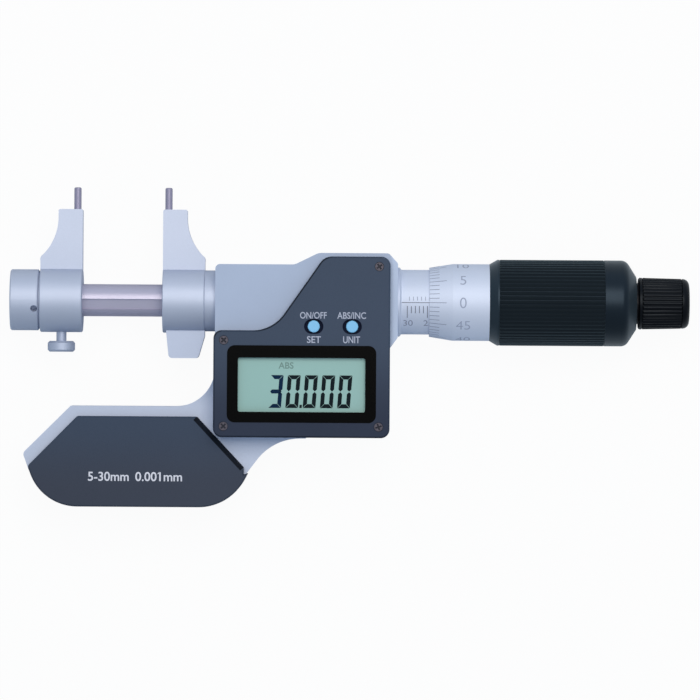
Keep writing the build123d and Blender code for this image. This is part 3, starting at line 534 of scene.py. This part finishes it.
# Marks in a row, drawn flat and wrapped on a cone about the spindle axis: X runs along the spindle
# and Y is the distance round the cone's reference radius. An anchor of half a mark puts its end in place.
def makeMarkTree():
    tree, given, result = openTree("marksOnSpindle", "GeometryNodeTree", {
        "Marks": ("Int", 10), "First": ("Vector", (0, 0, 0)), "Step": ("Vector", (1, 0, 0)),
        "Short Mark": ("Vector", (1, 0.1, 0.02)), "Long Mark": ("Vector", (1, 0.1, 0.02)),
        "Long Every": ("Int", 5), "Anchor": ("Vector", (0, 0, 0)), "Cone Start": ("Float", 0.0),
        "Cone Radius": ("Float", 8.0), "Cone Slope": ("Float", 0.0), "Centre": ("Vector", (0, 0, 0)),
        "Finish": ("Material", None),
    }, {"Geometry": "Geometry"})
    spots = addNode(tree, "GeometryNodeMeshLine", {
        "Count": given["Marks"], "Start Location": given["First"], "Offset": given["Step"],
    }, mode="OFFSET")
    number = addNode(tree, "GeometryNodeInputIndex").outputs["Index"]
    inputs = {"A": maths(tree, "MODULO", number, given["Long Every"]), "B": 0.5}
    isLong = addNode(tree, "FunctionNodeCompare", inputs, data_type="FLOAT", operation="LESS_THAN")
    size = addNode(tree, "GeometryNodeSwitch", {
        "Switch": isLong.outputs["Result"], "False": given["Short Mark"], "True": given["Long Mark"],
    }, input_type="VECTOR").outputs["Output"]
    offset = vectorMaths(tree, "MULTIPLY", size, given["Anchor"])["Vector"]
    shifted = addNode(tree, "GeometryNodeSetPosition", {"Geometry": spots.outputs["Mesh"], "Offset": offset})
    bar = addNode(tree, "GeometryNodeMeshCube", {
        "Size": (1, 1, 1), "Vertices X": 3, "Vertices Y": 7, "Vertices Z": 2,
    })
    spread = addNode(tree, "GeometryNodeInstanceOnPoints", {
        "Points": shifted.outputs["Geometry"], "Instance": bar.outputs["Mesh"], "Scale": size,
    })
    real = addNode(tree, "GeometryNodeRealizeInstances", {"Geometry": spread.outputs["Instances"]})

    x, y, z = splitPlace(tree)
    along = maths(tree, "SUBTRACT", x, given["Cone Start"])
    cone = maths(tree, "ADD", given["Cone Radius"], maths(tree, "MULTIPLY", along, given["Cone Slope"]))
    angle = maths(tree, "DIVIDE", y, given["Cone Radius"])
    bent = aroundSpindle(tree, x, maths(tree, "ADD", cone, z), angle)
    centred = vectorMaths(tree, "ADD", bent, given["Centre"])["Vector"]
    wrapped = addNode(tree, "GeometryNodeSetPosition", {
        "Geometry": real.outputs["Geometry"], "Position": centred,
    })
    finishTree(tree, wrapped.outputs["Geometry"], given, result)
    return tree


ribTree, markTree = makeRibTree(), makeMarkTree()


# The plain mesh of an object as its modifiers leave it, with the object taken away
def takeMesh(holder):
    bpy.context.view_layer.update()
    mesh = bpy.data.meshes.new_from_object(holder.evaluated_get(bpy.context.evaluated_depsgraph_get()))
    holder.modifiers.clear()
    bpy.data.objects.remove(holder)
    return mesh


# Runs a tree with its inputs in millimetres and returns a plain mesh in metres
def growMesh(name, tree, values, finish):
    holder = addObject(name + "Seed", bpy.data.meshes.new(name + "Seed"))
    modifier = holder.modifiers.new("grow", "NODES")
    modifier.node_group = tree
    sockets = {item.name: item.identifier for item in tree.interface.items_tree if item.in_out == "INPUT"}
    for label, value in {**values, "Centre": tuple(headFace), "Finish": made[finish]}.items():
        modifier[sockets[label]] = value
    grown = takeMesh(holder)
    grown.transform(Matrix.Scale(millimetre, 4))
    return grown


# A turned body with its ribs, whose radius may differ at the ends of their band
def makeRibbed(name, ribName, profile, v, leftRadius, rightRadius, finish, rank):
    ribs = growMesh(ribName, ribTree, {
        "Ribs": v["ribs"], "Left": v["bandLeft"], "Right": v["bandRight"], "Left Radius": leftRadius,
        "Right Radius": rightRadius, "Rib Height": v["ribHeight"], "Rib Share": v["ribShare"],
        "End Slope": v["ribEnd"],
    }, finish)
    return addMesh(buildMesh(name, *turnProfile(roundProfile(profile), v["steps"])), ribs, rank)


gripValues = {
    "left": 68.1, "right": 104.7, "radius": 10.7, "frontRadius": 9.55, "frontRound": 0.12, "bevel": 2.0,
    "bevelRound": 0.5, "bandLeft": 70.6, "bandRight": 96.7, "bandRound": 0.08, "ribs": 60,
    "ribHeight": 0.18, "ribShare": 0.93, "ribEnd": 0.25, "shoulder": 102.1, "shoulderRound": 2.2,
    "endRadius": 6.6, "endRound": 0.3, "bore": 9.2, "boreEnd": 100.4, "hole": 5.2, "steps": 180,
}


def makeGrip(v):
    radius, root, bandRound = v["radius"], v["radius"] - v["ribHeight"], v["bandRound"]
    mesh = makeRibbed("thimbleGrip", "gripRibs", [
        (v["left"], v["bore"], 0), (v["left"], v["frontRadius"], v["frontRound"]),
        (v["left"] + v["bevel"], radius, v["bevelRound"]),
        (v["bandLeft"], radius, bandRound), (v["bandLeft"], root, 0),
        (v["bandRight"], root, 0), (v["bandRight"], radius, bandRound),
        (v["shoulder"], radius, v["shoulderRound"]), (v["right"], v["endRadius"], v["endRound"]),
        (v["right"], v["hole"], 0), (v["boreEnd"], v["hole"], 0), (v["boreEnd"], v["bore"], 0),
    ], v, radius, radius, "gripRibs", 1)
    piece = finishPiece("grip_body", mesh, "gripBlack", "thimble", ribFinish="gripRibs")
    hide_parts("thimble_grip")


makeGrip(gripValues)

knobValues = {
    "left": 105.2, "right": 118.1, "radius": 6.45, "endRadius": 6.15, "edge": 0.3, "edgeRound": 0.1,
    "bandLeft": 106.1, "bandRight": 116.1, "bandRound": 0.05, "ribs": 36, "ribHeight": 0.28, "ribShare": 0.86,
    "ribEnd": 0.25, "dome": 0.3, "domeRound": 1.6, "cavity": 4.9, "cavityEnd": 114.4, "axisRadius": 0.001,
    "steps": 144,
}


def makeKnob(v):
    slope = (v["endRadius"] - v["radius"]) / (v["right"] - v["left"])
    leftRadius = v["radius"] + slope * (v["bandLeft"] - v["left"])
    rightRadius = v["radius"] + slope * (v["bandRight"] - v["left"])
    mesh = makeRibbed("ratchetKnob", "knobRibs", [
        (v["left"], v["cavity"], 0), (v["left"], v["radius"] - v["edge"], v["edgeRound"]),
        (v["left"] + v["edge"], v["radius"], v["edgeRound"]), (v["bandLeft"], leftRadius, v["bandRound"]),
        (v["bandLeft"], leftRadius - v["ribHeight"], 0), (v["bandRight"], rightRadius - v["ribHeight"], 0),
        (v["bandRight"], rightRadius, v["bandRound"]),
        (v["right"] - v["dome"], v["endRadius"], v["domeRound"]), (v["right"], v["axisRadius"], 0),
        (v["cavityEnd"], v["axisRadius"], 0), (v["cavityEnd"], v["cavity"], 0),
    ], v, leftRadius, rightRadius, "knobBlack", 0)
    piece = finishPiece("knob_body", mesh, "knobBlack", "ratchet")
    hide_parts("ratchet_knob")


makeKnob(knobValues)
print("grip and knob made")

sleeveScale = {
    "start": 47.65, "readingAtStart": 30, "readings": 26, "longEvery": 5, "radius": 8.05, "proud": 0.016,
    "lineWidth": 0.17, "shortFrom": -1.0, "shortLength": 1.85, "longLength": 3.1, "halfFrom": 0.32,
    "halfLength": 1.0, "halfWidth": 0.12, "indexY": -0.17, "indexLeft": 46.25, "indexRight": 73.4,
    "indexWidth": 0.15, "numbers": 6, "numberHeight": 1.8, "numberY": -5.7, "numberShift": 0.2,
    "numberWeight": -0.004,
}
thimbleScale = {
    "front": 53.15, "frontRadius": 8.6, "coneLength": 5.75, "backRadius": 9.55, "marks": 50, "longEvery": 5,
    "markShift": 0.02, "width": 0.13, "shortLength": 2.45, "longLength": 4.2, "proud": 0.016,
    "zeroTurn": -1.1, "numbers": 10, "numberX": 61.5, "numberHeight": 2.65, "numberWeight": -0.008,
}


def makeSleeveScale(v):
    middle, thick, width = (v["proud"] - sunk) / 2, v["proud"] + sunk, v["lineWidth"]
    shared = {"Cone Radius": v["radius"], "Long Every": v["longEvery"], "Step": (1, 0, 0)}
    marks = growMesh("sleeveMarks", markTree, {
        **shared, "Marks": v["readings"], "First": (v["start"], v["shortFrom"], middle),
        "Short Mark": (width, v["shortLength"], thick), "Long Mark": (width, v["longLength"], thick),
        "Anchor": (0, -0.5, 0),
    }, "scaleInk")
    half = (v["halfWidth"], v["halfLength"], thick)
    halves = growMesh("sleeveHalves", markTree, {
        **shared, "Marks": v["readings"] - 1, "First": (v["start"] + 0.5, v["halfFrom"], middle),
        "Anchor": (0, 0.5, 0), "Short Mark": half, "Long Mark": half,
    }, "thimbleInk")
    left, right = v["indexLeft"], v["indexRight"]
    index = growMesh("sleeveIndex", markTree, {
        **shared, "Marks": 1, "First": ((left + right) / 2, v["indexY"], middle),
        "Long Mark": (right - left, v["indexWidth"], thick),
    }, "scaleInk")
    finishPiece("sleeve_marks", addMesh(marks, index), "scaleInk", "gauge")
    finishPiece("sleeve_half_marks", halves, "thimbleInk", "gauge")


def makeThimbleScale(v):
    middle, thick, width = (v["proud"] - sunk) / 2, v["proud"] + sunk, v["width"]
    front, radius = v["front"], v["frontRadius"]
    marks = growMesh("thimbleMarks", markTree, {
        "Marks": v["marks"], "Long Every": v["longEvery"], "Anchor": (0.5, 0, 0),
        "First": (front + v["markShift"], math.radians(v["zeroTurn"]) * radius, middle),
        "Step": (0, 2 * math.pi * radius / v["marks"], 0),
        "Short Mark": (v["shortLength"], width, thick), "Long Mark": (v["longLength"], width, thick),
        "Cone Start": front, "Cone Radius": radius,
        "Cone Slope": (v["backRadius"] - radius) / v["coneLength"],
    }, "thimbleInk")
    finishPiece("thimble_marks", marks, "thimbleInk", "thimble")


makeSleeveScale(sleeveScale)
makeThimbleScale(thimbleScale)

halfThick = 0.01  # of letters before they are laid, when only the sign of Z counts


# A low flat block on any outline
def raiseOutline(outline, low, high):
    count = len(outline)
    points = [(x, y, z) for z in (low, high) for x, y in outline]
    faces = [tuple(range(count)), tuple(range(count, 2 * count))]
    faces += [(i, (i + 1) % count, (i + 1) % count + count, i + count) for i in range(count)]
    return points, faces


# Gives a figure one a small flag at the top of its stem, which stands at a place along its line
def flagOne(mesh, at, drop, reach):
    top = max(vertex.co.y for vertex in mesh.vertices)
    flag = [(at, top), (at, top - drop), (at - reach, top - 2 * drop), (at - reach, top - drop)]
    points, faces = raiseOutline(flag, -halfThick, halfThick)
    extra = bpy.data.meshes.new("flag")
    extra.from_pydata(points, [], faces)
    return addMesh(mesh, extra)


# A line of plain letters or figures as a solid, its middle at zero and its height in millimetres
def makeWords(text, height, width=None, weight=0.0):
    words = bpy.data.curves.new("words", "FONT")
    words.body = text
    words.align_x = "CENTER"
    words.offset = weight
    words.extrude = halfThick
    words.resolution_u = 6
    mesh = takeMesh(addObject("words", words))
    xs = [vertex.co.x for vertex in mesh.vertices]
    ys = [vertex.co.y for vertex in mesh.vertices]
    scaleY = height / (max(ys) - min(ys))
    scaleX = width / (max(xs) - min(xs)) if width else scaleY
    middleX, middleY = (max(xs) + min(xs)) / 2, (max(ys) + min(ys)) / 2
    for vertex in mesh.vertices:
        vertex.co.x = (vertex.co.x - middleX) * scaleX
        vertex.co.y = (vertex.co.y - middleY) * scaleY
    return mesh


# Lays words flat at a height, their tops a little proud
def layWords(mesh, x, y, z, proud):
    for vertex in mesh.vertices:
        lift = proud if vertex.co.z > 0 else -sunk
        vertex.co = place(x + vertex.co.x, y + vertex.co.y, z + lift)
    return mesh


# Wraps words round the spindle axis, with their middle at a turn in degrees from straight up
def wrapWords(mesh, x, turn, radius, proud, cuts=7):
    shape = bmesh.new()
    shape.from_mesh(mesh)
    low = min(vertex.co.y for vertex in shape.verts)
    high = max(vertex.co.y for vertex in shape.verts)
    for k in range(cuts):
        level = low + (high - low) * (k + 0.5) / cuts
        geometry = shape.verts[:] + shape.edges[:] + shape.faces[:]
        bmesh.ops.bisect_plane(shape, geom=geometry, plane_co=(0, level, 0), plane_no=(0, 1, 0))
    for vertex in shape.verts:
        reach = radius + (proud if vertex.co.z > 0 else -sunk)
        angle = math.radians(turn) + vertex.co.y / radius
        vertex.co = place(x + vertex.co.x, reach * math.sin(angle), reach * math.cos(angle))
    shape.to_mesh(mesh)
    shape.free()
    return mesh


def makeSleeveNumbers(v):
    mesh = bpy.data.meshes.new("sleeveNumbers")
    turn = math.degrees(v["numberY"] / v["radius"])
    for k in range(v["numbers"]):
        past = v["longEvery"] * k
        words = makeWords(str(v["readingAtStart"] - past), v["numberHeight"], weight=v["numberWeight"])
        addMesh(mesh, wrapWords(words, v["start"] + past + v["numberShift"], turn, v["radius"], v["proud"]))
    finishPiece("sleeve_numbers", mesh, "thimbleInk", "gauge")


def makeThimbleNumbers(v):
    mesh = bpy.data.meshes.new("thimbleNumbers")
    for k in range(v["numbers"]):
        words = makeWords(str(v["longEvery"] * k), v["numberHeight"], weight=v["numberWeight"])
        turn = v["zeroTurn"] + 360 * k / v["numbers"]
        addMesh(mesh, wrapWords(words, v["numberX"], turn, v["backRadius"], v["proud"]))
    finishPiece("thimble_numbers", mesh, "figureInk", "thimble")


makeSleeveNumbers(sleeveScale)
makeThimbleNumbers(thimbleScale)
print("scales made")

displayValues = {
    "face": 11.1, "lefts": (13.34, 17.58, 21.86, 26.12, 30.38), "digitWidth": 3.76, "bottom": -26.45,
    "height": 8.1, "stroke": 0.98, "lean": 0.075, "gap": 0.07, "tip": 0.1, "proud": 0.05, "text": "30000",
    "pointAfter": 1, "pointBack": 0.3, "pointWidth": 0.6, "pointHeight": 0.8, "modeProud": 0.03,
    "mode": ("ABS", 1.6, 3.7), "modeWeight": 0.012, "modeX": 17.7, "modeY": -15.95,
}
segmentsLit = {"0": "abcdef", "3": "abcdg"}


# Outlines of the lit bars of one digit, on a cell one digit wide
def digitBars(figure, v):
    stroke, gap, tip = v["stroke"], v["gap"], v["tip"]
    wide, high = v["digitWidth"] - v["lean"] * v["height"], v["height"]
    middle, point = high / 2, stroke / 2
    across, pointed = (0, point, stroke), (point, 0, point)
    level = {"a": (high, -stroke), "d": (0, stroke)}
    upright = {"b": (wide, middle, -1), "c": (wide, 0, -1), "e": (0, 0, 1), "f": (0, middle, 1)}
    bars = []
    for name in segmentsLit[figure]:
        if name in level:
            y, inward = level[name]
            bars.append([(gap, y), (wide - gap, y), (wide - stroke - gap, y + inward),
                         (stroke + gap, y + inward)])
        elif name in upright:
            x, foot, inward = upright[name]
            low, top = (pointed, across) if foot else (across, pointed)
            rising = [(x + inward * across[k], foot + gap + low[k]) for k in range(3)]
            falling = [(x + inward * across[k], foot + middle - gap - top[k]) for k in (2, 1, 0)]
            bars.append(rising + falling)
        else:
            near, far = point + gap, wide - point - gap
            bars.append([(gap + tip, middle), (near, middle + point), (far, middle + point),
                         (wide - gap - tip, middle), (far, middle - point), (near, middle - point)])
    return bars


def makeDigits(v):
    low, high, bottom = v["face"] - sunk, v["face"] + v["proud"], v["bottom"]
    parts = {"displayNavy": ([], []), "displayMark": ([], [])}
    for rank, figure in enumerate(v["text"]):
        target = parts["displayMark" if rank else "displayNavy"]
        for bar in digitBars(figure, v):
            outline = [(v["lefts"][rank] + x + v["lean"] * y, bottom + y) for x, y in bar]
            joinFaces(target, raiseOutline(outline, low, high))
    dot = v["lefts"][v["pointAfter"]] + v["digitWidth"] - v["pointBack"]
    square = [(0, 0), (v["pointWidth"], 0), (v["pointWidth"], v["pointHeight"]), (0, v["pointHeight"])]
    outline = [(dot + x + v["lean"] * y, bottom + y) for x, y in square]
    joinFaces(parts["displayMark"], raiseOutline(outline, low, high))
    for finish, shape in parts.items():
        name = "digits_" + finish
        finishPiece(name, buildMesh(name, *shape), finish, "gauge")
    words = makeWords(*v["mode"], v["modeWeight"])
    layWords(words, v["modeX"], v["modeY"], v["face"], v["modeProud"])
    finishPiece("display_abs", words, "displayFaint", "gauge")


makeDigits(displayValues)
print("display made")

# Each label is its text, height, width and middle, and a figure one's flag is in shares of its height
labels = {
    "coverTop": 12.2, "guardTop": 6.9, "proud": 0.02, "coverWeight": 0.012, "guardWeight": 0.015,
    "oneAt": 0.2, "flagDrop": 0.13, "flagReach": 0.2,
    "cover": [
        ("ON/OFF", 1.65, 6.62, 24.4, -3.5), ("ABS/INC", 1.65, 7.11, 33.85, -3.5),
        ("SET", 1.7, 3.44, 24.56, -9.5), ("UNIT", 1.7, 4.17, 33.88, -9.5),
    ],
    "guard": [("5-30mm", 2.3, 10.14, -26.27, -43.75), ("0.001mm", 2.3, 11.62, -13.78, -43.75)],
}


def makeLabels(v):
    mesh = bpy.data.meshes.new("coverLabels")
    for text, height, width, x, y in v["cover"]:
        words = makeWords(text, height, width, v["coverWeight"])
        addMesh(mesh, layWords(words, x, y, v["coverTop"], v["proud"]))
    finishPiece("cover_labels", mesh, "printGrey", "gauge")
    mesh = bpy.data.meshes.new("guardRange")
    for text, height, width, x, y in v["guard"]:
        words = makeWords(text, height, width, v["guardWeight"])
        if "1" in text:
            words = flagOne(words, v["oneAt"], v["flagDrop"] * height, v["flagReach"] * height)
        addMesh(mesh, layWords(words, x, y, v["guardTop"], v["proud"]))
    finishPiece("guard_range", mesh, "printWhite", "gauge")


makeLabels(labels)

wellValues = {
    "x": (24.5, 34.0), "y": -6.25, "length": 4.8, "width": 3.7, "top": 12.19, "floor": 11.3, "clear": 0.01,
    "wall": 0.12, "hole": 1.58, "steps": 32,
}


# An oval with straight sides along X, or a circle where it is as long as it is wide
def ovalPoints(x, y, length, width, steps):
    half = (length - width) / 2
    outline = []
    for k in range(steps):
        angle = 2 * math.pi * (k + 0.5) / steps
        side = half if math.cos(angle) > 0 else -half
        outline.append((x + side + width / 2 * math.cos(angle), y + width / 2 * math.sin(angle)))
    return outline


# The trays lining the cover's button holes, dark navy as painted shade of the holes' depth
def makeWells(v):
    shape = ([], [])
    low, inset = v["floor"] + v["clear"], 2 * v["clear"]
    for x in v["x"]:
        outer = ovalPoints(x, v["y"], v["length"] - inset, v["width"] - inset, v["steps"])
        inner = ovalPoints(x, v["y"], v["length"] - 2 * v["wall"], v["width"] - 2 * v["wall"], v["steps"])
        hole = ovalPoints(x, v["y"], 2 * v["hole"], 2 * v["hole"], v["steps"])
        levels = ((hole, low), (outer, low), (outer, v["top"]), (inner, v["top"]),
                  (inner, low + v["wall"]), (hole, low + v["wall"]))
        joinFaces(shape, joinRings([[(a, b, z) for a, b in outline] for outline, z in levels]))
    mesh = buildMesh("button_wells", *shape)
    finishPiece("button_wells", mesh, "wellShadeNavy", "gauge")


makeWells(wellValues)
print("labels and wells made")

cameraValues = {
    "aboveAxis": 1500.0, "fieldWidth": 174.5, "x": 0.0, "y": -0.42, "turn": 0.00628, "sensor": 36.0,
    "nearest": 10.0,
}


def setCamera(v):
    lens = bpy.data.cameras.new("photoCamera")
    lens.sensor_width = v["sensor"]
    lens.lens = v["sensor"] * v["aboveAxis"] / v["fieldWidth"]
    lens.clip_start = v["nearest"] * millimetre
    camera = addObject("photoCamera", lens)
    camera.location = Vector((v["x"], v["y"], headFace.z + v["aboveAxis"])) * millimetre
    camera.rotation_euler = (0, 0, v["turn"])
    bpy.context.scene.camera = camera


lampValues = {"at": (30.0, 228.0, 640.0), "size": (520.0, 440.0), "power": 2.38, "tint": (1.1, 1.0, 0.89)}


def setLamp(v):
    lamp = bpy.data.lights.new("softBox", "AREA")
    lamp.shape = "RECTANGLE"
    lamp.size, lamp.size_y = (size * millimetre for size in v["size"])
    lamp.energy = v["power"]
    lamp.color = v["tint"]
    box = addObject("softBox", lamp)
    box.location = Vector(v["at"]) * millimetre
    box.rotation_euler = (-box.location).to_track_quat("-Z", "Y").to_euler()
    box.visible_camera = False


# The first value where the mask is 0 and the second where it is 1
def chooseValue(tree, mask, first, second):
    inputs = {"Factor": mask, "A": first, "B": second}
    return addNode(tree, "ShaderNodeMix", inputs, data_type="FLOAT").outputs["Result"]


# 1 for rays that see the background straight on, 0 for those that carry or mirror light
def seenDirectly(tree):
    path = addNode(tree, "ShaderNodeLightPath").outputs
    return maths(tree, "MAXIMUM", path["Is Camera Ray"], path["Is Transmission Ray"])


# The slopes say how much is added towards +Y, where the jaws' tips point
worldValues = {
    "soft": 0.405, "softSlope": -0.09, "mirrored": 0.55, "mirroredSlope": 0.26, "mirroredLeast": 0.15,
    "tint": (0.85, 1.0, 1.18),
}


# A tinted soft light, and plain white where it is seen straight on
def setWorld(v):
    world = bpy.data.worlds.new("studio")
    world.use_nodes = True
    tree = world.node_tree
    background = tree.nodes["Background"].inputs
    sky = addNode(tree, "ShaderNodeTexCoord").outputs["Generated"]
    towards = addNode(tree, "ShaderNodeSeparateXYZ", {"Vector": sky}).outputs["Y"]
    soft = maths(tree, "ADD", maths(tree, "MULTIPLY", towards, v["softSlope"]), v["soft"])
    mirrored = maths(tree, "ADD", maths(tree, "MULTIPLY", towards, v["mirroredSlope"]), v["mirrored"])
    mirrored = maths(tree, "MAXIMUM", mirrored, v["mirroredLeast"])
    isMirrored = addNode(tree, "ShaderNodeLightPath").outputs["Is Glossy Ray"]
    strength = chooseValue(tree, seenDirectly(tree), chooseValue(tree, isMirrored, soft, mirrored), 1.0)
    tone = mixColours(tree, seenDirectly(tree), (*v["tint"], 1.0), grey(1.0))
    tree.links.new(tone, background["Color"])
    tree.links.new(strength, background["Strength"])
    bpy.context.scene.world = world


floorValues = {"halfSize": 4000.0, "below": 0.02, "shade": 0.78, "tint": (0.94, 1.0, 1.05), "glow": 0.95}


# A pale floor that carries the object's shadow and is nearly white where it is seen
def setFloor(v):
    far, level = v["halfSize"] * millimetre, -v["below"] * millimetre
    mesh = bpy.data.meshes.new("floor")
    corners = [(-far, -far, level), (far, -far, level), (far, far, level), (-far, far, level)]
    mesh.from_pydata(corners, [], [(0, 1, 2, 3)])
    floor = addObject("floor", mesh)
    material = bpy.data.materials.new("paleFloor")
    material.use_nodes = True
    tree = material.node_tree
    tree.nodes.clear()
    shade = tuple(v["shade"] * tint for tint in v["tint"])
    matt = addNode(tree, "ShaderNodeBsdfDiffuse", {"Color": (*shade, 1.0)}).outputs["BSDF"]
    glow = addNode(tree, "ShaderNodeEmission", {"Color": grey(1.0), "Strength": 1.0}).outputs["Emission"]
    share = maths(tree, "MULTIPLY", seenDirectly(tree), v["glow"])
    mixed = addNode(tree, "ShaderNodeMixShader", {"Fac": share, 1: matt, 2: glow}).outputs["Shader"]
    addNode(tree, "ShaderNodeOutputMaterial", {"Surface": mixed})
    mesh.materials.append(material)


setCamera(cameraValues)
setLamp(lampValues)
setWorld(worldValues)
setFloor(floorValues)
bpy.context.scene.view_settings.view_transform = "Standard"
print("studio made")
